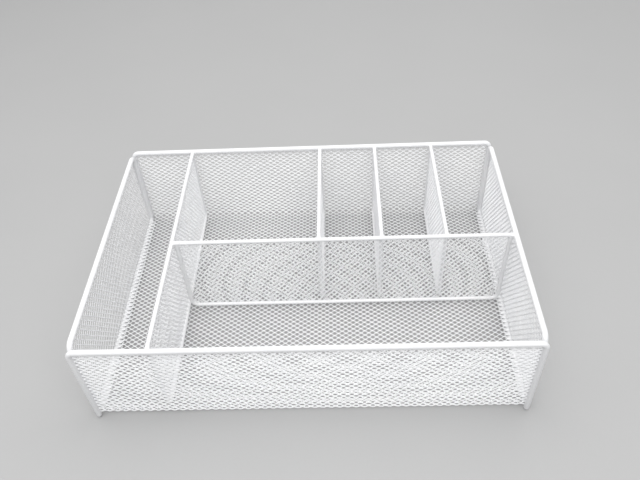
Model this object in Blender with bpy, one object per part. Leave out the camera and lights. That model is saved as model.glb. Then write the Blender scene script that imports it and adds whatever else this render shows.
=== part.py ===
"""Welded wire-mesh drawer organizer insert with six open compartments.

Rods bent into frames carry flat infills of expanded metal. The two end frames are closed
loops whose bottom rails are the runners that the tray stands on, and their infills are flush
with the outside of the rod. The front and back frames are a top rim with two legs. One folded
sheet is the front wall, the floor and the back wall. The infills are plain thin plates of the
sheet's outline, without its openings.

Frame: origin under the middle of the tray, +X to the right, +Y to the back, +Z up, metres.
"""
import math

import bmesh
import bpy
from mathutils import Matrix, Vector

# Overall size
WIDTH = 0.380
DEPTH = 0.260
HEIGHT = 0.097

# Stock
ROD_RADIUS = 0.0025
DIVIDER_ROD_RADIUS = 0.0019
SHEET_THICKNESS = 0.0012
WELD_GAP = 0.0003

# Bends, all to the rod's centreline
RIM_BEND = 0.0055
END_BEND = 0.0070
DIVIDER_TOP_BEND = 0.0040
DIVIDER_BOTTOM_BEND = 0.0070
FLOOR_FOLD = 0.0030

# Divider planes, measured from the left face and from the front face of the tray
LONG_DIVIDER_FROM_LEFT = 0.0662
CROSS_DIVIDER_FROM_FRONT = 0.1210
SHORT_DIVIDERS_FROM_LEFT = (0.2005, 0.2575, 0.3160)

# Rounded end of a leg: for each step its end radius and its drop, as shares of the rod radius
TIP_STEPS = ((0.86, 0.5), (0.60, 0.3))

# Facets
ROD_SIDES = 12
BEND_STEPS = 4
CORNER_SEGMENTS = 4
ROD_SHARP_ANGLE = math.radians(50)

# Places that follow
LEFT = -WIDTH / 2
RIGHT = WIDTH / 2
FRONT = -DEPTH / 2
BACK = DEPTH / 2
ROD_DIAMETER = 2 * ROD_RADIUS
DIVIDER_ROD_DIAMETER = 2 * DIVIDER_ROD_RADIUS
FLOOR_TOP = ROD_DIAMETER + WELD_GAP
FLOOR_MIDDLE = FLOOR_TOP - SHEET_THICKNESS / 2
LEG_CLEARANCE = WELD_GAP
QUARTER_TURN = math.pi / 2


def remove_all_objects():
    for old in list(bpy.data.objects):
        bpy.data.objects.remove(old, do_unlink=True)


def coat_material(name, colour, roughness):
    """White powder coat: a dielectric film, so the metal under it does not show."""
    material = bpy.data.materials.new(name)
    material.use_nodes = True
    shader = material.node_tree.nodes["Principled BSDF"]
    shader.inputs["Base Color"].default_value = (*colour, 1.0)
    shader.inputs["Roughness"].default_value = roughness
    shader.inputs["Metallic"].default_value = 0.0
    return material


def add_object(name, mesh_maker, material, location, along_y, root):
    """Put one sub-part in the scene. Its mesh is drawn in the local XZ plane."""
    mesh = bpy.data.meshes.new(name)
    bm = bmesh.new()
    mesh_maker(bm)
    bmesh.ops.recalc_face_normals(bm, faces=bm.faces)
    bm.to_mesh(mesh)
    bm.free()
    mesh.materials.append(material)
    obj = bpy.data.objects.new(name, mesh)
    bpy.context.scene.collection.objects.link(obj)
    obj.parent = root
    obj.location = location
    if along_y:
        obj.rotation_euler.z = QUARTER_TURN
    return obj


# ---- rods -------------------------------------------------------------------------------

def first_ring(bm, centre, radius):
    """A ring across local X whose flats face up, down and sideways at the stated radius."""
    half_step = math.pi / ROD_SIDES
    turn = Matrix.Rotation(QUARTER_TURN, 4, "Y") @ Matrix.Rotation(half_step, 4, "Z")
    made = bmesh.ops.create_circle(
        bm,
        segments=ROD_SIDES,
        radius=radius / math.cos(half_step),
        matrix=Matrix.Translation(centre) @ turn,
    )
    return list({edge for vert in made["verts"] for edge in vert.link_edges})


def ring_verts(edges):
    return list({vert for edge in edges for vert in edge.verts})


def run_straight(bm, edges, step):
    """Extrude the open end of a rod by a vector and return its new end."""
    made = bmesh.ops.extrude_edge_only(bm, edges=edges)["geom"]
    verts = [item for item in made if isinstance(item, bmesh.types.BMVert)]
    bmesh.ops.translate(bm, verts=verts, vec=step)
    fresh = set(verts)
    return [item for item in made if isinstance(item, bmesh.types.BMEdge) and set(item.verts) <= fresh]


def run_bend(bm, edges, centre):
    """Spin the open end of a rod a quarter turn about an axis along local Y."""
    made = bmesh.ops.spin(
        bm,
        geom=edges + ring_verts(edges),
        cent=centre,
        axis=(0, -1, 0),
        angle=QUARTER_TURN,
        steps=BEND_STEPS,
        use_duplicate=False,
    )
    return [item for item in made["geom_last"] if isinstance(item, bmesh.types.BMEdge)]


def closed_loop(bm, length, height, radius, top_bend, bottom_bend):
    """A rounded-rectangle rod loop, its outside length by height, standing on local z = 0."""
    half = length / 2 - radius
    low = radius
    high = height - radius
    end = first_ring(bm, Vector((-half + bottom_bend, 0, low)), radius)
    end = run_straight(bm, end, Vector((2 * (half - bottom_bend), 0, 0)))
    end = run_bend(bm, end, (half - bottom_bend, 0, low + bottom_bend))
    end = run_straight(bm, end, Vector((0, 0, high - low - top_bend - bottom_bend)))
    end = run_bend(bm, end, (half - top_bend, 0, high - top_bend))
    end = run_straight(bm, end, Vector((-2 * (half - top_bend), 0, 0)))
    end = run_bend(bm, end, (-half + top_bend, 0, high - top_bend))
    end = run_straight(bm, end, Vector((0, 0, -(high - low - top_bend - bottom_bend))))
    run_bend(bm, end, (-half + bottom_bend, 0, low + bottom_bend))
    bmesh.ops.remove_doubles(bm, verts=bm.verts, dist=radius / 1000)


def rounded_tip(bm, end, radius):
    """Close a leg pointing down with a shallow dome drawn in steps to a flat."""
    for scale, drop in TIP_STEPS:
        centre = sum((vert.co for vert in ring_verts(end)), Vector()) / len(end)
        end = run_straight(bm, end, Vector((0, 0, -drop * radius)))
        verts = ring_verts(end)
        target = max((vert.co - centre).xy.length for vert in verts)
        shrink = scale * radius / math.cos(math.pi / ROD_SIDES) / target
        bmesh.ops.scale(
            bm,
            vec=(shrink, shrink, 1),
            space=Matrix.Translation(-centre),
            verts=verts,
        )
    bmesh.ops.edgeloop_fill(bm, edges=end)


def rim_with_legs(bm, length, height, radius, bend, foot):
    """A straight top rim bent down at both ends into legs that stop at local z = foot."""
    half = length / 2 - radius
    high = height - radius
    tip = sum(drop for scale, drop in TIP_STEPS) * radius
    drop = high - bend - foot - tip
    middle = first_ring(bm, Vector((0, 0, high)), radius)
    for side in (1, -1):
        end = run_straight(bm, middle, Vector((side * (half - bend), 0, 0)))
        made = bmesh.ops.spin(
            bm,
            geom=end + ring_verts(end),
            cent=(side * (half - bend), 0, high - bend),
            axis=(0, side, 0),
            angle=QUARTER_TURN,
            steps=BEND_STEPS,
            use_duplicate=False,
        )
        end = [item for item in made["geom_last"] if isinstance(item, bmesh.types.BMEdge)]
        end = run_straight(bm, end, Vector((0, 0, -drop)))
        rounded_tip(bm, end, radius)


def smooth_rod(obj):
    obj.data.shade_smooth()
    obj.data.set_sharp_from_angle(angle=ROD_SHARP_ANGLE)


# ---- expanded-metal sheets ----------------------------------------------------------------

def solidify(obj):
    modifier = obj.modifiers.new("Sheet thickness", "SOLIDIFY")
    modifier.thickness = SHEET_THICKNESS
    modifier.offset = 0.0
    modifier.use_even_offset = True


def round_corners(bm, verts, radius):
    bmesh.ops.bevel(
        bm,
        geom=verts,
        offset=radius,
        offset_type="OFFSET",
        affect="VERTICES",
        segments=CORNER_SEGMENTS,
        profile=0.5,
    )


def rod_reach(radius, offset):
    """How far a loop's rod and the weld gap reach in from its outside, at a sheet's offset."""
    inner_face = max(offset - SHEET_THICKNESS / 2, 0)
    return radius + math.sqrt(radius**2 - inner_face**2) + WELD_GAP


def infill(bm, length, height, radius, offset, top_bend, bottom_bend):
    """The flat sheet that fills a closed loop, clear of the rod by the weld gap."""
    edge = rod_reach(radius, offset)
    half = length / 2 - edge
    low = edge
    high = height - edge
    places = ((-half, low), (half, low), (half, high), (-half, high))
    verts = [bm.verts.new((x, 0, z)) for x, z in places]
    bm.faces.new(verts)
    round_corners(bm, verts[:2], bottom_bend + radius - edge)
    top = [vert for vert in verts[2:] if vert.is_valid]
    round_corners(bm, top, top_bend + radius - edge)


def folded_sheet(bm):
    """Front wall, floor and back wall as one strip folded along two lines that run along X."""
    half_depth = DEPTH / 2 - ROD_RADIUS
    half_width = WIDTH / 2 - ROD_DIAMETER - WELD_GAP
    top = HEIGHT - ROD_DIAMETER - WELD_GAP
    fold = FLOOR_FOLD
    front_top = [bm.verts.new((x, -half_depth, top)) for x in (-half_width, half_width)]
    end = [bm.edges.new(front_top)]
    end = run_straight(bm, end, Vector((0, 0, FLOOR_MIDDLE + fold - top)))
    for turn_y, rise in ((-half_depth + fold, 0), (half_depth - fold, 1)):
        if rise:
            end = run_straight(bm, end, Vector((0, 2 * (half_depth - fold), 0)))
        made = bmesh.ops.spin(
            bm,
            geom=end + ring_verts(end),
            cent=(0, turn_y, FLOOR_MIDDLE + fold),
            axis=(1, 0, 0),
            angle=QUARTER_TURN,
            steps=BEND_STEPS,
            use_duplicate=False,
        )
        end = [item for item in made["geom_last"] if isinstance(item, bmesh.types.BMEdge)]
    end = run_straight(bm, end, Vector((0, 0, top - FLOOR_MIDDLE - fold)))
    round_corners(bm, front_top + ring_verts(end), RIM_BEND - ROD_RADIUS - WELD_GAP)


# ---- the tray ---------------------------------------------------------------------------

def framed_panel(name, length, height, radius, bends, location, along_y, coats, root, shift=0.0):
    """A rod loop and the sheet inside it, as two objects. The sheet may be shifted along X."""
    top_bend, bottom_bend = bends
    x, y, z = location
    frame = add_object(
        name + "_frame",
        lambda bm: closed_loop(bm, length, height, radius, top_bend, bottom_bend),
        coats["rod"],
        location,
        along_y,
        root,
    )
    smooth_rod(frame)
    sheet = add_object(
        name + "_mesh",
        lambda bm: infill(bm, length, height, radius, abs(shift), top_bend, bottom_bend),
        coats["sheet"],
        (x + shift, y, z),
        along_y,
        root,
    )
    solidify(sheet)


def build_end_panels(coats, root):
    """The end loops stand between the front and back frames, with their sheets on the outside."""
    length = DEPTH - 2 * (ROD_DIAMETER + WELD_GAP)
    bends = (END_BEND, END_BEND)
    outwards = ROD_RADIUS - SHEET_THICKNESS / 2
    for name, outside, sign in (("left_end", LEFT, -1), ("right_end", RIGHT, 1)):
        place = (outside - sign * ROD_RADIUS, 0, 0)
        shift = sign * outwards
        framed_panel(name, length, HEIGHT, ROD_RADIUS, bends, place, True, coats, root, shift)


def build_rims(coats, root):
    for name, y in (("front_frame", FRONT + ROD_RADIUS), ("back_frame", BACK - ROD_RADIUS)):
        frame = add_object(
            name,
            lambda bm: rim_with_legs(bm, WIDTH, HEIGHT, ROD_RADIUS, RIM_BEND, LEG_CLEARANCE),
            coats["rod"],
            (0, y, 0),
            False,
            root,
        )
        smooth_rod(frame)


def build_basket(coats, root):
    sheet = add_object("basket_mesh", folded_sheet, coats["sheet"], (0, 0, 0), False, root)
    solidify(sheet)


def build_dividers(coats, root):
    """Dividers stand on the floor with their rims flush with the outer rims."""
    bends = (DIVIDER_TOP_BEND, DIVIDER_BOTTOM_BEND)
    radius = DIVIDER_ROD_RADIUS
    bottom = FLOOR_TOP + WELD_GAP
    height = HEIGHT - bottom
    inner_front = FRONT + ROD_DIAMETER + WELD_GAP
    inner_back = BACK - ROD_DIAMETER - WELD_GAP
    inner_right = RIGHT - ROD_DIAMETER - WELD_GAP
    long_x = LEFT + LONG_DIVIDER_FROM_LEFT
    cross_y = FRONT + CROSS_DIVIDER_FROM_FRONT

    length = inner_back - inner_front
    place = (long_x, 0, bottom)
    framed_panel("long_divider", length, height, radius, bends, place, True, coats, root)

    cross_left = long_x + radius + WELD_GAP
    length = inner_right - cross_left
    place = ((cross_left + inner_right) / 2, cross_y, bottom)
    framed_panel("cross_divider", length, height, radius, bends, place, False, coats, root)

    short_front = cross_y + radius + WELD_GAP
    length = inner_back - short_front
    for number, from_left in enumerate(SHORT_DIVIDERS_FROM_LEFT, start=1):
        place = (LEFT + from_left, (short_front + inner_back) / 2, bottom)
        name = "short_divider_%d" % number
        framed_panel(name, length, height, radius, bends, place, True, coats, root)


def main():
    remove_all_objects()
    root = bpy.data.objects.new("organizer", None)
    bpy.context.scene.collection.objects.link(root)
    coats = {
        "rod": coat_material("white_rod_coat", (0.84, 0.85, 0.86), 0.38),
        "sheet": coat_material("white_sheet_coat", (0.80, 0.81, 0.83), 0.45),
    }
    build_end_panels(coats, root)
    build_rims(coats, root)
    build_basket(coats, root)
    build_dividers(coats, root)


main()
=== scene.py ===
"""A white wire-mesh drawer organizer insert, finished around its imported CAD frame.

Round coated rods bent into frames hold infills of expanded metal, a sheet that is slit and then
stretched into a lattice of slanted strands. Every piece takes its place and its size from the CAD
node it stands for. Lengths are in metres: +X to the right, +Y to the back, +Z up.
"""
import math
import bpy
import numpy as np
from bpy.props import (
    FloatProperty,
    FloatVectorProperty,
    IntProperty,
    PointerProperty,
)
from bpy.types import Operator, Panel, PropertyGroup
from mathutils import Matrix, Vector


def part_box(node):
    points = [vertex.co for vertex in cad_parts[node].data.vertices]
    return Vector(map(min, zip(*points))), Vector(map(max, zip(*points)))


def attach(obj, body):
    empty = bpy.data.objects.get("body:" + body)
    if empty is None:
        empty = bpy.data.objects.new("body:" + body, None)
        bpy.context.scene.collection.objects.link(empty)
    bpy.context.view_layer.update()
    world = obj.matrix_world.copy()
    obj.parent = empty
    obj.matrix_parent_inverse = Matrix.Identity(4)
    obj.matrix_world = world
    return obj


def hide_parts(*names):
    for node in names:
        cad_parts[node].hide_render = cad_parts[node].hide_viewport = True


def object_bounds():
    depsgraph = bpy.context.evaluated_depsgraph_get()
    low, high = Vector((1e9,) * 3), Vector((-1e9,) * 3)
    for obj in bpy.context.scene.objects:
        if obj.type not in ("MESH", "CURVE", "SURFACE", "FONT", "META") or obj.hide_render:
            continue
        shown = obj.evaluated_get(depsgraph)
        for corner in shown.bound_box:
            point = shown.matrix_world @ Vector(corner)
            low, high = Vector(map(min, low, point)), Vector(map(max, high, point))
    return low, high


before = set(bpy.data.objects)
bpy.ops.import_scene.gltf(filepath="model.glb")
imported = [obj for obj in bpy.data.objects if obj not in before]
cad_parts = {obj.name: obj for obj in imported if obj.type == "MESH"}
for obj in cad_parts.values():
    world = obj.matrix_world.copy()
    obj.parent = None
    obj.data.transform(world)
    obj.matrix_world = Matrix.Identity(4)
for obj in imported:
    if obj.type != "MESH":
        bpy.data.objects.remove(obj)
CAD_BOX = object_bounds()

bl_info = {
    "name": "Wire-mesh organizer tray",
    "version": (1, 0, 0),
    "blender": (4, 5, 0),
    "location": "3D View > Sidebar > Tray",
    "description": "Builds the rods, expanded-metal infills, welds and stage of a mesh tray",
    "category": "Object",
}

BODY = "root"
EDGE_ATTRIBUTE = "strand_edge"


def node_box(node):
    """Lowest and highest corner of a CAD node as two arrays."""
    low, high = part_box(node)
    return np.array(low), np.array(high)


def rod_radius_of(node):
    """A frame's rod is as thick as the frame's box is in its thinnest direction."""
    low, high = node_box(node)
    return float((high - low).min()) / 2


# ---- settings ---------------------------------------------------------------------------

class RodSettings(PropertyGroup):
    """Sizes of the bent rods, with bends measured to the rod's centreline."""

    outer_radius: FloatProperty(
        name="Outer rod radius",
        description="Half the thickness of the coated rod in the rims, legs and end loops",
        default=rod_radius_of("front_frame"),
        min=0.0005,
        precision=5,
        unit="LENGTH",
    )
    divider_radius: FloatProperty(
        name="Divider rod radius",
        description="Half the thickness of the coated rod round each divider",
        default=rod_radius_of("cross_divider_frame"),
        min=0.0005,
        precision=5,
        unit="LENGTH",
    )
    rim_bend: FloatProperty(
        name="Rim bend",
        description="Bend radius where the front and back rims turn down into their legs",
        default=0.0055,
        min=0.003,
        precision=5,
        unit="LENGTH",
    )
    end_bend: FloatProperty(
        name="End loop bend",
        description="Bend radius of all four corners of the two end loops",
        default=0.0070,
        min=0.003,
        precision=5,
        unit="LENGTH",
    )
    divider_top_bend: FloatProperty(
        name="Divider top bend",
        description="Bend radius of the upper corners of the divider loops",
        default=0.0040,
        min=0.002,
        precision=5,
        unit="LENGTH",
    )
    divider_bottom_bend: FloatProperty(
        name="Divider bottom bend",
        description="Bend radius of the lower corners of the divider loops",
        default=0.0070,
        min=0.002,
        precision=5,
        unit="LENGTH",
    )
    sides: IntProperty(
        name="Rod sides",
        description="Number of faces round a rod, an even number",
        default=24,
        min=8,
        step=2,
    )
    bend_steps: IntProperty(
        name="Bend steps",
        description="Number of steps in each quarter-turn bend",
        default=12,
        min=4,
    )


class MeshSettings(PropertyGroup):
    """Sizes of the expanded metal."""

    long_way: FloatProperty(
        name="Long way",
        description="Pitch of the openings along their long diagonal",
        default=0.00725,
        min=0.002,
        precision=5,
        unit="LENGTH",
    )
    short_way: FloatProperty(
        name="Short way",
        description="Pitch of the openings along their short diagonal",
        default=0.0051,
        min=0.002,
        precision=5,
        unit="LENGTH",
    )
    strand_width: FloatProperty(
        name="Strand width",
        description="Width of one coated strand",
        default=0.00086,
        min=0.0003,
        precision=5,
        unit="LENGTH",
    )
    strand_thickness: FloatProperty(
        name="Strand thickness",
        description="Thickness of one coated strand",
        default=0.00041,
        min=0.0002,
        precision=5,
        unit="LENGTH",
    )
    strand_tilt: FloatProperty(
        name="Strand tilt",
        description="Angle that each strand's flat is turned out of the sheet by the stretching",
        default=math.radians(24.5),
        min=0.0,
        max=math.radians(60),
        subtype="ANGLE",
    )
    bond_squareness: FloatProperty(
        name="Bond squareness",
        description="Length of the bonds between openings: low gives diamonds, high gives bricks",
        default=1.2,
        min=0.2,
        max=6.0,
    )
    embed: FloatProperty(
        name="Weld depth",
        description="How far the strands' ends sink into the rods",
        default=0.0005,
        min=0.0,
        precision=5,
        unit="LENGTH",
    )
    basket_start: FloatProperty(
        name="Basket start",
        description="How far the basket's lattice is shifted right, so that bonds lie on the rails",
        default=0.0004,
        precision=5,
        unit="LENGTH",
    )
    left_hem: FloatProperty(
        name="Left hem",
        description="Width of the edge folded under the floor sheet along the left rail",
        default=0.0030,
        min=0.001,
        precision=5,
        unit="LENGTH",
    )
    right_hem: FloatProperty(
        name="Right hem",
        description="Width of the edge folded under the floor sheet along the right rail",
        default=0.0018,
        min=0.001,
        precision=5,
        unit="LENGTH",
    )
    drift: FloatProperty(
        name="Lattice drift",
        description="How far the lattice wanders in the sheet from its even pitch",
        default=0.00013,
        min=0.0,
        precision=5,
        unit="LENGTH",
    )
    wave: FloatProperty(
        name="Sheet wave",
        description="How far the sheet wanders out of its plane",
        default=0.00013,
        min=0.0,
        precision=5,
        unit="LENGTH",
    )


class CoatSettings(PropertyGroup):
    """Look of the white powder coat."""

    # Rods and strands wear one and the same white coat. The rods' colour is set darker as painted
    # shade, which keeps the fully lit rods from clipping to white.
    rod_colour_with_painted_shade: FloatVectorProperty(
        name="Rod colour",
        description="Colour of the coat on the rods",
        default=(0.75, 0.75, 0.754),
        min=0.0,
        max=1.0,
        subtype="COLOR",
    )
    # The strands' colour is set lighter than the rods' as painted light, which makes up for the
    # shade that the strands cast on one another.
    mesh_colour_with_painted_light: FloatVectorProperty(
        name="Mesh colour",
        description="Colour of the coat on the strands",
        default=(0.92, 0.92, 0.925),
        min=0.0,
        max=1.0,
        subtype="COLOR",
    )
    rod_roughness: FloatProperty(
        name="Rod roughness",
        description="Roughness of the coat on the rods",
        default=0.36,
        min=0.05,
        max=1.0,
        subtype="FACTOR",
    )
    mesh_roughness: FloatProperty(
        name="Mesh roughness",
        description="Roughness of the thinner coat on the strands",
        default=0.44,
        min=0.05,
        max=1.0,
        subtype="FACTOR",
    )


class StageSettings(PropertyGroup):
    """Floor, lamps and camera."""

    floor_colour: FloatVectorProperty(
        name="Floor colour",
        description="Colour of the plain floor",
        default=(0.36, 0.36, 0.36),
        min=0.0,
        max=1.0,
        subtype="COLOR",
    )
    key_power: FloatProperty(
        name="Key power",
        description="Power of the large soft lamp above",
        default=33.0,
        min=0.0,
        unit="POWER",
    )
    fill_power: FloatProperty(
        name="Fill power",
        description="Power of the soft lamp at the front",
        default=8.0,
        min=0.0,
        unit="POWER",
    )
    ambient: FloatProperty(
        name="Ambient strength",
        description="Strength of the even light from all round",
        default=0.55,
        min=0.0,
    )
    camera_place: FloatVectorProperty(
        name="Camera place",
        description="Where the camera stands",
        default=(0.03279, -0.42591, 0.51358),
        subtype="TRANSLATION",
        unit="LENGTH",
    )
    camera_turn: FloatProperty(
        name="Camera turn",
        description="How far the camera is turned to the left of straight back",
        default=math.radians(2.902),
        subtype="ANGLE",
    )
    camera_down: FloatProperty(
        name="Camera down",
        description="How far the camera looks down from level",
        default=math.radians(45.103),
        subtype="ANGLE",
    )
    camera_roll: FloatProperty(
        name="Camera roll",
        description="How far the camera is rolled about its line of sight",
        default=math.radians(-3.552),
        subtype="ANGLE",
    )
    lens: FloatProperty(
        name="Lens",
        description="Focal length on a sensor 36 mm wide",
        default=36.79,
        min=10.0,
        unit="CAMERA",
    )


# ---- surfaces ---------------------------------------------------------------------------

def tube_quads(live, sides, closed=False):
    """Faces of a set of tubes whose points are numbered run by run, ring by ring, side by side.

    live[run, segment] says which stretches between two neighbouring rings are kept. A kept stretch
    has one quad per side. The first and last rings of an open tube are closed by quads across.
    """
    runs, segments = live.shape
    rings = segments if closed else segments + 1
    run, segment = np.nonzero(live)
    here = ((run * rings + segment) * sides)[:, None]
    after = ((run * rings + (segment + 1) % rings) * sides)[:, None]
    side = np.arange(sides)
    beside = (side + 1) % sides
    walls = np.stack((here + side, here + beside, after + beside, after + side), axis=-1)
    walls = walls.reshape(-1, 4)
    if closed:
        return walls
    kept = live.any(axis=1)
    first = live.argmax(axis=1)
    last = segments - live[:, ::-1].argmax(axis=1)
    base = np.arange(runs) * rings
    half = np.arange(sides // 2 - 1)
    across = np.stack((half, half + 1, sides - 2 - half, sides - 1 - half), axis=-1)
    start = ((base + first)[kept] * sides)[:, None, None] + across[:, ::-1]
    end = ((base + last)[kept] * sides)[:, None, None] + across
    return np.concatenate((walls, start.reshape(-1, 4), end.reshape(-1, 4)))


def add_piece(name, points, quads, material, nodes, values=None):
    """Put a finished surface in the scene, riding on the tray and standing for its CAD nodes."""
    used, quads = np.unique(quads, return_inverse=True)
    quads = quads.reshape(-1, 4)
    points = points.reshape(-1, 3)[used]
    mesh = bpy.data.meshes.new(name)
    mesh.vertices.add(len(points))
    mesh.vertices.foreach_set("co", points.astype(np.float32).ravel())
    mesh.loops.add(quads.size)
    mesh.loops.foreach_set("vertex_index", quads.astype(np.int32).ravel())
    mesh.polygons.add(len(quads))
    mesh.polygons.foreach_set("loop_start", np.arange(0, quads.size, 4, dtype=np.int32))
    mesh.update(calc_edges=True)
    mesh.shade_smooth()
    if values is not None:
        layer = mesh.attributes.new(EDGE_ATTRIBUTE, "FLOAT", "POINT")
        layer.data.foreach_set("value", values.ravel()[used].astype(np.float32))
    mesh.materials.append(material)
    piece = bpy.data.objects.new(name, mesh)
    bpy.context.scene.collection.objects.link(piece)
    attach(piece, BODY)
    if nodes:
        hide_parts(*nodes)
    return piece


# ---- rods -------------------------------------------------------------------------------

def bent_line(corners, steps):
    """Corner arcs joined by straight runs, walked anticlockwise: centre + radius (cos a, sin a).

    Each corner is (centre along, centre up, radius, first angle, last angle). Returns the line's
    points and its outward normals, both in the plane of the bend.
    """
    corners = np.array(corners, float)
    share = np.linspace(0, 1, steps + 1)
    angle = corners[:, 3:4] + (corners[:, 4:5] - corners[:, 3:4]) * share
    normal = np.stack((np.cos(angle), np.sin(angle)), axis=-1)
    points = corners[:, None, 0:2] + corners[:, None, 2:3] * normal
    return points.reshape(-1, 2), normal.reshape(-1, 2)


def rod_surface(line, normals, radii, sides, plane, closed):
    """A circle carried along a flat line: line + radius (cos a * normal + sin a * across).

    plane is (origin, direction along, direction up). The line is walked anticlockwise, so across
    points away from the side it is walked on and the faces look outwards.
    """
    origin, along, up = plane
    across = -np.cross(along, up)
    centre = origin + line[:, 0:1] * along + line[:, 1:2] * up
    normal = normals[:, 0:1] * along + normals[:, 1:2] * up
    angle = np.linspace(0, 2 * np.pi, sides, endpoint=False)
    ring = np.cos(angle)[None, :, None] * normal[:, None] + np.sin(angle)[None, :, None] * across
    points = centre[:, None] + radii[:, None, None] * ring
    live = np.ones((1, len(line) if closed else len(line) - 1), bool)
    return points, tube_quads(live, sides, closed)


def upright_plane(node):
    """The plane of a flat upright node: its middle, and its directions along and up."""
    low, high = node_box(node)
    middle = (low + high) / 2
    size = high - low
    along = np.array((1.0, 0.0, 0.0)) if size[0] > size[1] else np.array((0.0, 1.0, 0.0))
    origin = np.array((middle[0], middle[1], 0.0))
    length = float(max(size[0], size[1]))
    return (origin, along, np.array((0.0, 0.0, 1.0))), length, float(low[2]), float(high[2])


def loop_rod(node, radius, top_bend, bottom_bend, rods):
    """A rounded-rectangle rod loop that fills the node's box."""
    plane, length, low, high = upright_plane(node)
    half = length / 2 - radius
    bottom = low + radius
    top = high - radius
    quarter = math.pi / 2
    corners = (
        (half - bottom_bend, bottom + bottom_bend, bottom_bend, -quarter, 0),
        (half - top_bend, top - top_bend, top_bend, 0, quarter),
        (-half + top_bend, top - top_bend, top_bend, quarter, 2 * quarter),
        (-half + bottom_bend, bottom + bottom_bend, bottom_bend, 2 * quarter, 3 * quarter),
    )
    line, normals = bent_line(corners, rods.bend_steps)
    radii = np.full(len(line), radius)
    return rod_surface(line, normals, radii, rods.sides, plane, True)


DOME_STEPS = 6
DOME_START = 0.2
DOME_DEPTH = 0.8


def rim_rod(node, rods):
    """A rim bent down into two legs, each ending in a dome: radius sin q, drop 1 - cos q."""
    plane, length, low, high = upright_plane(node)
    radius = rods.outer_radius
    bend = rods.rim_bend
    half = length / 2 - radius
    top = high - radius
    dome = DOME_DEPTH * radius
    quarter = math.pi / 2
    corners = (
        (half - bend, top - bend, bend, 0, quarter),
        (-half + bend, top - bend, bend, quarter, 2 * quarter),
    )
    line, normals = bent_line(corners, rods.bend_steps)
    turn = np.linspace(DOME_START, 1.0, DOME_STEPS) * quarter
    height = low + dome * (1 - np.cos(turn))
    right_foot = np.stack((np.full(DOME_STEPS, half), height), axis=-1)
    left_foot = right_foot[::-1] * (-1, 1)
    outward = np.tile((1.0, 0.0), (DOME_STEPS, 1))
    line = np.concatenate((right_foot, line, left_foot))
    normals = np.concatenate((outward, normals, -outward))
    swell = radius * np.sin(turn)
    radii = np.concatenate((swell, np.full(len(line) - 2 * DOME_STEPS, radius), swell[::-1]))
    return rod_surface(line, normals, radii, rods.sides, plane, False)


# ---- welds ------------------------------------------------------------------------------

WELD_SIDES = 16
WELD_SHARES = np.array((0.0, 0.35, 0.6, 0.75, 0.87, 0.95, 1.0))
WELD_FLARE = 0.55
WELD_REACH = 0.93  # share of the way to the other rod's axis at which a weld ends
BEAD_RINGS = 9
BEAD_POLE = 0.46
BEAD_LUMPS = 0.10
LEG_BEAD_SIZE = (0.0016, 0.0014, 0.0034)
LEG_BEAD_HEIGHTS = (0.16, 0.86)  # as shares of the end loop's height


def weld_stubs(starts, ends, rod_radius):
    """Filled welds that carry a divider's top rod straight on to the rod that it meets.

    Each is an ellipse carried along a line, centre = start + (end - start) t. It is as wide as the
    rod times 1 + WELD_FLARE t^4, so it spreads like a fillet where it meets the other rod.
    """
    starts = np.array(starts, float)[:, None]
    ends = np.array(ends, float)[:, None]
    share = WELD_SHARES[None, :, None]
    centre = starts + (ends - starts) * share
    run = ends - starts
    run = run / np.linalg.norm(run, axis=-1, keepdims=True)
    up = np.array((0.0, 0.0, 1.0))
    across = np.cross(up, run)
    wide = rod_radius * (1 + WELD_FLARE * share[..., None] ** 4)
    angle = np.linspace(0, 2 * np.pi, WELD_SIDES, endpoint=False)[:, None]
    ring = np.cos(angle) * across[:, :, None] * wide + np.sin(angle) * up * rod_radius
    points = centre[:, :, None] + ring
    live = np.ones((len(starts), len(WELD_SHARES) - 1), bool)
    return points, tube_quads(live, WELD_SIDES)


def weld_beads(centres, sizes, seed):
    """Small lumpy beads: an ellipsoid, swollen and pinched by a low sine wave round it."""
    centres = np.array(centres, float)
    sizes = np.array(sizes, float)
    lift = np.linspace(-BEAD_POLE, BEAD_POLE, BEAD_RINGS) * np.pi
    angle = np.linspace(0, 2 * np.pi, WELD_SIDES, endpoint=False)
    a, b = np.meshgrid(lift, angle, indexing="ij")
    shape = np.stack((np.cos(a) * np.cos(b), np.cos(a) * np.sin(b), np.sin(a)), axis=-1)
    turn = np.random.default_rng(seed).uniform(0, 2 * np.pi, (len(centres), 1, 1))
    lumps = 1 + BEAD_LUMPS * np.cos(a) * np.sin(3 * b + turn) * np.cos(2 * a + turn)
    points = centres[:, None, None] + sizes[:, None, None] * shape * lumps[..., None]
    live = np.ones((len(centres), len(lift) - 1), bool)
    return points, tube_quads(live, WELD_SIDES)


def divider_joints(rods):
    """Both top ends of every divider: where its straight top rod stops, and the rod it meets.

    Returns the starts and ends of the welds, on the axes of the two rods.
    """
    meets = {
        "long_divider": ("front_frame", "back_frame"),
        "cross_divider": ("long_divider_frame", "right_end_frame"),
        "short_divider_1": ("cross_divider_frame", "back_frame"),
        "short_divider_2": ("cross_divider_frame", "back_frame"),
        "short_divider_3": ("cross_divider_frame", "back_frame"),
    }
    starts = []
    ends = []
    for name, targets in meets.items():
        (origin, along, up), length, _, high = upright_plane(name + "_frame")
        for side, target in zip((-1, 1), targets):
            target_low, target_high = node_box(target)
            target_radius = rod_radius_of(target)
            axis = (target_low + target_high) / 2 * along
            axis = axis + (1 - along) * origin
            straight = length / 2 - rods.divider_radius - rods.divider_top_bend
            corner = origin + side * along * straight
            start = corner + up * (high - rods.divider_radius)
            end = axis * (1, 1, 0) + up * (float(target_high[2]) - target_radius)
            starts.append(start)
            ends.append(start + (end - start) * WELD_REACH)
    return starts, ends


# ---- expanded metal -----------------------------------------------------------------------

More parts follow.
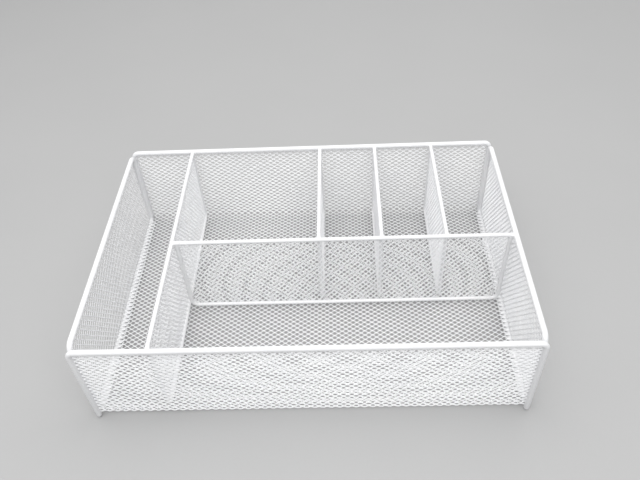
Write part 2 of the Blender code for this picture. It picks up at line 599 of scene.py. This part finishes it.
STRAND_SIDES = 6
STEPS_PER_PITCH = 6
FLAT_SHARE = 0.62  # how much of a strand's width is flat, between its rounded edges
BOND_OVERLAP = 0.08  # as a share of the strand's width
SHORTEST_STEP = 0.04  # a shorter leftover of a step is dropped at a strand's end
END_EMBED = 0.0011  # the end sheets sink deeper into their thicker rods


def wander(u, v, seed):
    """A slow unevenness between -1 and 1: the mean of two products of long sine waves."""
    a, b, c, d = np.random.default_rng(seed).uniform(0, 2 * np.pi, 4)
    first = np.sin(u / 0.0131 + a) * np.sin(v / 0.0173 + b)
    second = np.sin(u / 0.0307 + c) * np.sin(v / 0.0239 + d)
    return (first + second) / 2


def expanded_strands(weave, numbers, span, seed, turned=1, start=0.0):
    """Strands of a flat expanded sheet, as points (u, v, h), quads and an edge mark per point.

    Strand j runs along u at v = j * short way / 2 and swings towards its two neighbours in turn by
    G = (-1)^j tanh(k cos(2 pi u / long way)) / tanh k. Its flat is tilted about its run and its
    height follows G, so that neighbours meet edge to edge at the bonds. span(v) gives both ends
    of the strand at v. The section is a ribbon with a rounded edge on each side. turned scales the
    tilt, and is negative for a sheet that is turned over. start shifts the lattice along u.
    """
    numbers = np.asarray(numbers)
    width = weave.strand_width
    tilt = turned * weave.strand_tilt
    long_way = weave.long_way
    row = numbers * weave.short_way / 2
    low, high = span(row)
    step = long_way / STEPS_PER_PITCH
    first = math.floor((low.min() - start) / step)
    last = math.ceil((high.max() - start) / step)
    marks = start + np.arange(first, last + 1) * step
    u = np.clip(marks, low[:, None], high[:, None])
    live = np.diff(u, axis=1) > step * SHORTEST_STEP

    squareness = weave.bond_squareness
    hand = np.where(numbers % 2 == 0, 1.0, -1.0)[:, None]
    phase = 2 * np.pi * (u - start) / long_way
    swing = hand * np.tanh(squareness * np.cos(phase)) / math.tanh(squareness)
    steepness = squareness * np.sin(phase) / np.cosh(squareness * np.cos(phase)) ** 2
    overlap = BOND_OVERLAP * width
    reach = (weave.short_way / 2 - width * math.cos(tilt) + overlap) / 2
    slope = -reach * hand * steepness * 2 * np.pi / long_way / math.tanh(squareness)
    lean = np.arctan(slope)[..., None]

    flat = width / 2 * np.array((1, FLAT_SHARE, -FLAT_SHARE, -1, -FLAT_SHARE, FLAT_SHARE))
    face = weave.strand_thickness / 2 * np.array((0, 1, 1, 0, -1, -1))
    sideways = flat * math.cos(tilt) + face * math.sin(tilt)
    along = u[..., None] - sideways * np.sin(lean)
    over = (row[:, None] + reach * swing)[..., None] + sideways * np.cos(lean)
    height = (width / 2 * math.sin(tilt) * swing)[..., None]
    height = height - flat * math.sin(tilt) + face * math.cos(tilt)

    shift_u = weave.drift * wander(along, over, seed)
    shift_v = weave.drift * wander(along, over, seed + 1)
    lift = weave.wave * wander(along, over, seed + 2)
    edge = np.broadcast_to(np.array((1.0, 0, 0, 1.0, 0, 0)), along.shape)
    points = (along + shift_u, over + shift_v, height + lift)
    return points, tube_quads(live, STRAND_SIDES), edge


def strand_numbers(first, last, weave):
    """Numbers of the strands whose rows lie between two places."""
    pitch = weave.short_way / 2
    return np.arange(math.ceil(first / pitch), math.floor(last / pitch) + 1)


def panel_strands(node, weave, seed, bends, towards, turned, embed):
    """The infill of one upright loop: strands stand on end, clipped to the loop's rounded corners.

    A strand's end near a corner of inner radius R is cut back by R - sqrt(R^2 - d^2), where d is
    how far its row lies past the corner's centre.
    """
    plane, length, low, high = upright_plane(node)
    origin, along, up = plane
    out = np.array(towards, float)
    sideways = np.cross(out, up)
    half = length / 2 + embed
    floor = low - embed
    ceiling = high + embed
    top_bend, bottom_bend = bends

    def span(row):
        past_top = np.clip(np.abs(row) - half + top_bend, 0, top_bend)
        past_bottom = np.clip(np.abs(row) - half + bottom_bend, 0, bottom_bend)
        cut_top = top_bend - np.sqrt(top_bend**2 - past_top**2)
        cut_bottom = bottom_bend - np.sqrt(bottom_bend**2 - past_bottom**2)
        return floor + cut_bottom, ceiling - cut_top

    numbers = strand_numbers(-half, half, weave)
    (u, v, h), quads, edge = expanded_strands(weave, numbers, span, seed, turned)
    points = origin + u[..., None] * up + v[..., None] * sideways + h[..., None] * out
    return points, quads, edge


SHEET_THICKNESS = 0.0012  # of the basket's CAD plate, whose middle the strands follow
FOLD_RADIUS = 0.0030


class BasketFold:
    """The line that the basket sheet follows, from its front top edge to its back top edge."""

    def __init__(self, weave):
        low, high = node_box("basket_mesh")
        self.fold = FOLD_RADIUS
        self.half_depth = float(high[1]) - SHEET_THICKNESS / 2
        self.half_width = float(high[0])
        self.top = float(high[2]) + weave.embed
        self.floor = float(low[2]) + SHEET_THICKNESS / 2
        self.wall = self.top - self.floor - self.fold
        self.arc = self.fold * math.pi / 2
        self.flat = 2 * (self.half_depth - self.fold)
        self.front_fold_end = self.wall + self.arc
        self.back_fold_start = self.front_fold_end + self.flat
        self.length = 2 * self.front_fold_end + self.flat

    def place(self, u, s, h):
        """Points at arc length s along the fold line and h above its inner face.

        Down the front wall, round a quarter turn, across the floor, round a second quarter turn
        and up the back wall. The inward normal turns with the line: (cos a, sin a).
        """
        quarter = math.pi / 2
        turn_1 = np.clip((s - self.wall) / self.fold, 0, quarter)
        turn_2 = np.clip((s - self.back_fold_start) / self.fold, 0, quarter)
        down = np.minimum(s, self.wall)
        across = np.clip(s - self.front_fold_end, 0, self.flat)
        rise = np.maximum(s - self.back_fold_start - self.arc, 0)
        turn = turn_1 + turn_2
        y = -self.half_depth + self.fold * (1 - np.cos(turn_1) + np.sin(turn_2)) + across
        z = self.top - down - self.fold * (np.sin(turn_1) - 1 + np.cos(turn_2)) + rise
        return np.stack((u, y + h * np.cos(turn), z + h * np.sin(turn)), axis=-1)


RAIL_OVERLAP = 0.0010  # how far floor strands run on past the rail's axis
RAIL_FOOT = 0.0043  # from the rail's axis to where the sheet starts to rise to it
FOLD_BLEND = 0.006
HEM_DROP = 0.0008
HEM_END = 0.009


class EndRail:
    """The straight bottom rail of an end loop, for the floor strands that lie over it.

    The sheet rises from its foot along the tangent to a circle about the rail's axis.
    """

    def __init__(self, node, weave, level):
        low, high = node_box(node)
        self.middle = abs(float(low[0] + high[0])) / 2
        self.radius = float(high[0] - low[0]) / 2
        self.reach = self.radius + weave.strand_thickness
        self.axis_height = float(low[2]) + self.radius
        below = self.axis_height - level
        span = math.hypot(RAIL_FOOT, below)
        turn = math.acos(self.reach / span) - math.atan2(below, RAIL_FOOT)
        self.touch = self.reach * math.cos(turn)
        self.touch_height = self.axis_height + self.reach * math.sin(turn)
        self.steepness = 1 / math.tan(turn)

    def top_at(self, x):
        """Height of a sheet laid on the rail: axis + sqrt(reach^2 - distance from the axis^2).

        On the tray's side the sheet leaves that circle along a straight tangent.
        """
        inward = self.middle - np.abs(x)
        away = np.minimum(np.abs(inward), self.reach)
        circle = self.axis_height + np.sqrt(self.reach**2 - away**2)
        ramp = self.touch_height - (inward - self.touch) * self.steepness
        return np.where(inward > self.touch, ramp, circle)


def smooth_step(x):
    """0 below 0 and 1 above 1, with 3 x^2 - 2 x^3 between."""
    x = np.clip(x, 0, 1)
    return x * x * (3 - 2 * x)


def basket_strands(first, last, weave, seed):
    """Strands of the folded sheet whose rows lie between two places along its fold line.

    Floor strands run on over the round end rails: their height is the floor's or that of the
    sheet's line over the rail, whichever is higher.
    """
    fold = BasketFold(weave)
    rail = EndRail("right_end_frame", weave, fold.floor)
    wall_half = fold.half_width + weave.embed
    floor_half = rail.middle + RAIL_OVERLAP

    def span(row):
        on_floor = (row > fold.front_fold_end) & (row < fold.back_fold_start)
        half = np.where(on_floor, floor_half, wall_half)
        return -half, half

    numbers = strand_numbers(first, last, weave)
    (u, s, h), quads, edge = expanded_strands(
        weave, numbers, span, seed, start=weave.basket_start
    )
    inside = np.minimum(s - fold.front_fold_end, fold.back_fold_start - s) / FOLD_BLEND
    h = h + np.maximum(rail.top_at(u) - fold.floor, 0) * smooth_step(inside)
    return fold.place(u, s, h), quads, edge


PAD_RINGS = np.array((1.0, 0.97, 0.9, 0.78, 0.6, 0.35, 0.1))
PAD_HEIGHT = 0.00055
PAD_SINK = 0.0002
# Each column of pads: place along X, phase in the short way, half width, half length.
PAD_COLUMNS = (
    (0.1862, 0.75, 0.00265, 0.00175),
    (-0.1850, 0.75, 0.00165, 0.0013),
    (-0.1881, 0.25, 0.00130, 0.0013),
)


def rail_pads(weave):
    """Pads of weld and coat where the sheet's last bonds are pressed on to the end rails.

    A pad is an oval in plan, centre + size rho (cos a, sin a), and stands above the sheet's line
    over the rail by height sqrt(1 - rho^4).
    """
    fold = BasketFold(weave)
    rail = EndRail("right_end_frame", weave, fold.floor)
    pitch = weave.short_way
    first = math.ceil((fold.front_fold_end + FOLD_BLEND) / pitch)
    last = math.floor((fold.back_fold_start - FOLD_BLEND) / pitch)
    pads = [
        (x, row + phase, wide, long)
        for x, phase, wide, long in PAD_COLUMNS
        for row in range(first, last)
    ]
    x, row, wide, long = np.array(pads).T[:, :, None, None]
    rho = PAD_RINGS[:, None]
    angle = np.linspace(0, 2 * np.pi, WELD_SIDES, endpoint=False)
    u = x + wide * rho * np.cos(angle)
    s = row * pitch + long * rho * np.sin(angle)
    h = rail.top_at(u) - fold.floor - PAD_SINK + PAD_HEIGHT * np.sqrt(1 - rho**4)
    live = np.ones((len(pads), len(PAD_RINGS) - 1), bool)
    return fold.place(u, s, h), tube_quads(live, WELD_SIDES)


def hem_strands(side, width, weave, seed):
    """The edge of the floor sheet, folded back under it along one end rail.

    The fold turns the lattice over, so its strands run half a pitch out of step with the floor's
    and close most of the openings above them.
    """
    fold = BasketFold(weave)
    half_length = fold.half_depth - HEM_END
    outer = fold.half_width + weave.embed
    inner = fold.half_width - width
    low, high = sorted((side * outer, side * inner))
    level = fold.floor - HEM_DROP
    start = weave.basket_start + weave.long_way / 2
    numbers = strand_numbers(-half_length, half_length, weave)

    def span(row):
        return np.full(row.shape, low), np.full(row.shape, high)

    (u, v, h), quads, edge = expanded_strands(weave, numbers, span, seed, -1, start)
    return np.stack((u, v, level + h), axis=-1), quads, edge


# ---- materials ----------------------------------------------------------------------------

class Value:
    """A node's output that does arithmetic. Each operator adds one Math node."""

    def __init__(self, nodes, socket):
        self.nodes = nodes
        self.socket = socket

    def with_(self, operation, first, second):
        return self.nodes.add("ShaderNodeMath", {"operation": operation}, {0: first, 1: second})

    def __add__(self, other):
        return self.with_("ADD", self, other)

    def __radd__(self, other):
        return self.with_("ADD", other, self)

    def __mul__(self, other):
        return self.with_("MULTIPLY", self, other)

    def __rmul__(self, other):
        return self.with_("MULTIPLY", other, self)


class MaterialNodes:
    """The nodes of one material."""

    def __init__(self, name):
        self.material = bpy.data.materials.new(name)
        self.material.use_nodes = True
        self.tree = self.material.node_tree
        self.tree.nodes.clear()

    def add(self, kind, settings=None, inputs=None, output=0):
        """One node: its settings first, then its sockets' values or links. Returns an output."""
        node = self.tree.nodes.new(kind)
        for key, value in (settings or {}).items():
            setattr(node, key, value)
        for key, value in (inputs or {}).items():
            if isinstance(value, Value):
                self.tree.links.new(value.socket, node.inputs[key])
            else:
                node.inputs[key].default_value = value
        return Value(self, node.outputs[output]) if len(node.outputs) else None

    def noise(self, place, scale, detail):
        return self.add(
            "ShaderNodeTexNoise",
            {"noise_dimensions": "3D"},
            {"Vector": place, "Scale": scale, "Detail": detail, "Roughness": 0.55},
        )

    def mix_colour(self, factor, first, second):
        return self.add(
            "ShaderNodeMix",
            {"data_type": "RGBA", "blend_type": "MIX"},
            {0: factor, 6: first, 7: second},
            output=2,
        )

    def smooth_range(self, value, low, high):
        """0 below low and 1 above high, with a smooth step between."""
        return self.add(
            "ShaderNodeMapRange",
            {"interpolation_type": "SMOOTHSTEP"},
            {"Value": value, "From Min": low, "From Max": high},
        )

    def finish(self, inputs):
        shader = self.add("ShaderNodeBsdfPrincipled", None, inputs)
        self.add("ShaderNodeOutputMaterial", None, {"Surface": shader})
        return self.material


def scaled(colour, factor):
    """A colour times a number or three numbers, opaque."""
    return (*(np.array(colour[:3]) * factor).clip(0, 1), 1.0)


def coat_material(name, colour, roughness, peel_height, mark_edges):
    """White powder coat: a satin film with orange peel, thicker and thinner places and faint dust.

    Broad clouds shift the white a little, fine grain stands for the melted powder, and scattered
    specks are dust in the film. Where edges are marked, the film is thinner and rougher on them.
    """
    nodes = MaterialNodes(name)
    place = nodes.add("ShaderNodeTexCoord", output=3)
    cloud = nodes.noise(place, 21.0, 3.0)
    grain = nodes.noise(place, 620.0, 2.0)
    peel = nodes.noise(place, 1350.0, 1.0)
    specks = nodes.smooth_range(nodes.noise(place, 950.0, 0.0), 0.74, 0.80)
    clouds = nodes.smooth_range(cloud, 0.32, 0.68)

    base = nodes.mix_colour(clouds, scaled(colour, (0.955, 0.958, 0.968)), scaled(colour, 1.0))
    film = nodes.mix_colour(grain * 0.10, base, scaled(colour, (0.90, 0.91, 0.93)))
    dusted = nodes.mix_colour(specks * 0.35, film, scaled(colour, (0.66, 0.65, 0.62)))
    rough = roughness - 0.04 + 0.08 * clouds + 0.08 * grain
    if mark_edges:
        edge = nodes.add("ShaderNodeAttribute", {"attribute_name": EDGE_ATTRIBUTE}, output=2)
        dusted = nodes.mix_colour(edge * 0.5, dusted, scaled(colour, (0.93, 0.94, 0.95)))
        rough = rough + 0.05 * edge
    height = peel * 0.6 + grain * 0.4
    bump = nodes.add(
        "ShaderNodeBump",
        None,
        {"Strength": 0.55, "Distance": peel_height, "Height": height},
    )
    return nodes.finish(
        {
            "Base Color": dusted,
            "Roughness": rough,
            "Normal": bump,
            "IOR": 1.5,
            "Coat Weight": 0.12,
            "Coat Roughness": 0.22,
        }
    )


def floor_material(colour):
    """Plain matt floor with the faintest cloudiness, so that it doesn't look like paper."""
    nodes = MaterialNodes("stage_floor")
    place = nodes.add("ShaderNodeTexCoord", output=3)
    cloud = nodes.noise(place, 6.0, 4.0)
    fleck = nodes.noise(place, 420.0, 2.0)
    base = nodes.mix_colour(cloud, scaled(colour, 0.97), scaled(colour, 1.03))
    flecked = nodes.mix_colour(fleck * 0.2, base, scaled(colour, 0.85))
    return nodes.finish({"Base Color": flecked, "Roughness": 0.6 + 0.15 * cloud})


ROD_PEEL = 0.00005
MESH_PEEL = 0.00004


def shared_material(kind):
    """The tray's two coats, each made once from the settings and then shared."""
    made = bpy.data.materials.get(kind)
    if made is not None:
        return made
    coat = bpy.context.scene.tray_coat
    # The two coats differ in roughness and edge marks, and also by painted shade in the rods'
    # colour and painted light in the strands' colour.
    if kind == "white_rod_coat":
        return coat_material(kind, coat.rod_colour_with_painted_shade, coat.rod_roughness, ROD_PEEL, False)
    return coat_material(kind, coat.mesh_colour_with_painted_light, coat.mesh_roughness, MESH_PEEL, True)


# ---- operators ----------------------------------------------------------------------------

# Each end sheet: side, direction inwards along X, factor on the strand tilt.
END_SHEETS = (("left", 1, -0.35), ("right", -1, -1.7))
LONG_TURNED = 0.8
SHORT_TURNED = -1.5
DIVIDERS = (
    "long_divider",
    "cross_divider",
    "short_divider_1",
    "short_divider_2",
    "short_divider_3",
)
LEG_WELD_SEED = 5
BASKET_SEED = 11
HEM_SEED = 17
END_SEED = 31
DIVIDER_SEED = 61
SEED_STEP = 10


class TRAY_OT_outer_rods(Operator):
    """Bend the front and back frames and the two end loops"""

    bl_idname = "tray.outer_rods"
    bl_label = "Outer rods"

    def execute(self, context):
        rods = context.scene.tray_rods
        coat = shared_material("white_rod_coat")
        for node in ("front_frame", "back_frame"):
            points, quads = rim_rod(node, rods)
            add_piece(node + "_rod", points, quads, coat, (node,))
        for node in ("left_end_frame", "right_end_frame"):
            points, quads = loop_rod(node, rods.outer_radius, rods.end_bend, rods.end_bend, rods)
            add_piece(node + "_rod", points, quads, coat, (node,))
        return {"FINISHED"}


class TRAY_OT_divider_rods(Operator):
    """Bend the thinner rod loops of the five dividers"""

    bl_idname = "tray.divider_rods"
    bl_label = "Divider rods"

    def execute(self, context):
        rods = context.scene.tray_rods
        coat = shared_material("white_rod_coat")
        for name in DIVIDERS:
            node = name + "_frame"
            points, quads = loop_rod(
                node, rods.divider_radius, rods.divider_top_bend, rods.divider_bottom_bend, rods
            )
            add_piece(node + "_rod", points, quads, coat, (node,))
        return {"FINISHED"}


class TRAY_OT_welds(Operator):
    """Weld the dividers' top rods to the rims, and the legs to the end loops"""

    bl_idname = "tray.welds"
    bl_label = "Welds"

    def execute(self, context):
        rods = context.scene.tray_rods
        coat = shared_material("white_rod_coat")
        starts, ends = divider_joints(rods)
        points, quads = weld_stubs(starts, ends, rods.divider_radius)
        add_piece("divider_welds", points, quads, coat, ())
        centres = []
        for node in ("left_end_frame", "right_end_frame"):
            low, high = node_box(node)
            middle = float(low[0] + high[0]) / 2
            for y in (float(low[1]), float(high[1])):
                for share in LEG_BEAD_HEIGHTS:
                    centres.append((middle, y, share * float(high[2])))
        sizes = np.tile(LEG_BEAD_SIZE, (len(centres), 1))
        points, quads = weld_beads(centres, sizes, LEG_WELD_SEED)
        add_piece("leg_welds", points, quads, coat, ())
        return {"FINISHED"}


class TRAY_OT_basket_strands(Operator):
    """Stretch the folded sheet that is the front wall, the floor and the back wall"""

    bl_idname = "tray.basket_strands"
    bl_label = "Basket strands"

    def execute(self, context):
        weave = context.scene.tray_mesh
        coat = shared_material("white_mesh_coat")
        fold = BasketFold(weave)
        limits = {
            "front_wall_strands": (0.0, fold.front_fold_end),
            "floor_front_strands": (fold.front_fold_end, fold.length / 2),
            "floor_back_strands": (fold.length / 2, fold.back_fold_start),
            "back_wall_strands": (fold.back_fold_start, fold.length),
        }
        for name, (first, last) in limits.items():
            points, quads, edge = basket_strands(first, last, weave, BASKET_SEED)
            add_piece(name, points, quads, coat, ("basket_mesh",), edge)
        hems = (("left_hem", -1, weave.left_hem), ("right_hem", 1, weave.right_hem))
        for name, side, width in hems:
            points, quads, edge = hem_strands(side, width, weave, HEM_SEED)
            add_piece(name + "_strands", points, quads, coat, (), edge)
        points, quads = rail_pads(weave)
        # The pads take the rod coat, whose darker colour is painted shade that keeps them from
        # glaring white.
        add_piece("rail_pads", points, quads, shared_material("white_rod_coat"), ())
        return {"FINISHED"}


class TRAY_OT_end_strands(Operator):
    """Stretch the infills of the two end loops"""

    bl_idname = "tray.end_strands"
    bl_label = "End strands"

    def execute(self, context):
        weave = context.scene.tray_mesh
        rods = context.scene.tray_rods
        coat = shared_material("white_mesh_coat")
        inner = rods.end_bend - rods.outer_radius
        for number, (side, inward, turned) in enumerate(END_SHEETS):
            node = side + "_end_mesh"
            points, quads, edge = panel_strands(
                node,
                weave,
                END_SEED + SEED_STEP * number,
                (inner, inner),
                (inward, 0, 0),
                turned,
                END_EMBED,
            )
            add_piece(side + "_end_strands", points, quads, coat, (node,), edge)
        return {"FINISHED"}


class TRAY_OT_divider_strands(Operator):
    """Stretch the infills of the five divider loops"""

    bl_idname = "tray.divider_strands"
    bl_label = "Divider strands"

    def execute(self, context):
        weave = context.scene.tray_mesh
        rods = context.scene.tray_rods
        coat = shared_material("white_mesh_coat")
        bends = (
            rods.divider_top_bend - rods.divider_radius,
            rods.divider_bottom_bend - rods.divider_radius,
        )
        for number, name in enumerate(DIVIDERS):
            node = name + "_mesh"
            facing = (0, -1, 0) if name == "cross_divider" else (1, 0, 0)
            turned = SHORT_TURNED if name.startswith("short") else LONG_TURNED
            seed = DIVIDER_SEED + SEED_STEP * number
            points, quads, edge = panel_strands(
                node, weave, seed, bends, facing, turned, weave.embed
            )
            add_piece(name + "_strands", points, quads, coat, (node,), edge)
        return {"FINISHED"}


class TRAY_OT_stage(Operator):
    """Lay the floor, hang the lamps and place the camera"""

    bl_idname = "tray.stage"
    bl_label = "Stage"

    def execute(self, context):
        stage = context.scene.tray_stage
        lay_floor(stage)
        hang_lamps(stage)
        place_camera(stage)
        return {"FINISHED"}


FLOOR_HALF = 3.0
FLOOR_GAP = 0.0001
WARM_WHITE = (1.0, 0.995, 0.985)
COOL_WHITE = (0.985, 0.99, 1.0)


def lay_floor(stage):
    """A flat square floor just under the tray."""
    half = FLOOR_HALF
    ground = float(CAD_BOX[0][2]) - FLOOR_GAP
    mesh = bpy.data.meshes.new("stage_floor")
    corners = ((-half, -half), (half, -half), (half, half), (-half, half))
    mesh.from_pydata([(x, y, ground) for x, y in corners], [], [(0, 1, 2, 3)])
    mesh.materials.append(floor_material(stage.floor_colour))
    floor = bpy.data.objects.new("stage_floor", mesh)
    bpy.context.scene.collection.objects.link(floor)


def hang_lamp(name, power, size, place, target, colour):
    """A rectangular soft lamp at place that shines on target."""
    light = bpy.data.lights.new(name, "AREA")
    light.shape = "RECTANGLE"
    light.size, light.size_y = size
    light.energy = power
    light.color = colour
    lamp = bpy.data.objects.new(name, light)
    lamp.location = place
    lamp.rotation_euler = (Vector(target) - Vector(place)).to_track_quat("-Z", "Y").to_euler()
    bpy.context.scene.collection.objects.link(lamp)


def hang_lamps(stage):
    """One large soft lamp above, a softer one at the front, and even light from all round."""
    middle = (CAD_BOX[0] + CAD_BOX[1]) / 2
    lamps = (
        ("key_lamp", stage.key_power, (3.0, 2.2), (-0.1, 0.1, 1.4), WARM_WHITE),
        ("fill_lamp", stage.fill_power, (1.2, 0.7), (0.15, -0.8, 1.2), COOL_WHITE),
    )
    for name, power, size, place, colour in lamps:
        hang_lamp(name, power, size, place, middle, colour)
    world = bpy.data.worlds.new("studio_world")
    bpy.context.scene.world = world
    world.use_nodes = True
    background = world.node_tree.nodes["Background"]
    background.inputs["Color"].default_value = (*COOL_WHITE, 1.0)
    background.inputs["Strength"].default_value = stage.ambient


def place_camera(stage):
    """Turn left, look down and roll, in that order from the outside in."""
    data = bpy.data.cameras.new("camera")
    data.sensor_width = 36.0
    data.lens = stage.lens
    data.clip_start = 0.01
    camera = bpy.data.objects.new("camera", data)
    turn = Matrix.Rotation(stage.camera_turn, 4, "Z")
    tip = Matrix.Rotation(math.pi / 2 - stage.camera_down, 4, "X")
    roll = Matrix.Rotation(stage.camera_roll, 4, "Z")
    camera.matrix_world = Matrix.Translation(stage.camera_place) @ turn @ tip @ roll
    bpy.context.scene.collection.objects.link(camera)
    bpy.context.scene.camera = camera
    bpy.context.scene.view_settings.view_transform = "Standard"


class TRAY_PT_parts(Panel):
    """The tray's parts, in the order they are built"""

    bl_idname = "TRAY_PT_parts"
    bl_label = "Organizer tray"
    bl_space_type = "VIEW_3D"
    bl_region_type = "UI"
    bl_category = "Tray"

    def draw(self, context):
        for group in (
            context.scene.tray_rods,
            context.scene.tray_mesh,
            context.scene.tray_coat,
            context.scene.tray_stage,
        ):
            column = self.layout.column()
            for key in group.__annotations__:
                column.prop(group, key)
        for operator in OPERATORS:
            self.layout.operator(operator.bl_idname)


OPERATORS = (
    TRAY_OT_outer_rods,
    TRAY_OT_divider_rods,
    TRAY_OT_welds,
    TRAY_OT_basket_strands,
    TRAY_OT_end_strands,
    TRAY_OT_divider_strands,
    TRAY_OT_stage,
)
GROUPS = {
    "tray_rods": RodSettings,
    "tray_mesh": MeshSettings,
    "tray_coat": CoatSettings,
    "tray_stage": StageSettings,
}


def register():
    for cls in (*GROUPS.values(), *OPERATORS, TRAY_PT_parts):
        bpy.utils.register_class(cls)
    for name, group in GROUPS.items():
        setattr(bpy.types.Scene, name, PointerProperty(type=group))


def unregister():
    for name in GROUPS:
        delattr(bpy.types.Scene, name)
    for cls in reversed((*GROUPS.values(), *OPERATORS, TRAY_PT_parts)):
        bpy.utils.unregister_class(cls)


def main():
    register()
    bpy.ops.tray.outer_rods()
    bpy.ops.tray.divider_rods()
    bpy.ops.tray.welds()
    bpy.ops.tray.basket_strands()
    bpy.ops.tray.end_strands()
    bpy.ops.tray.divider_strands()
    bpy.ops.tray.stage()


if __name__ == "__main__":
    main()
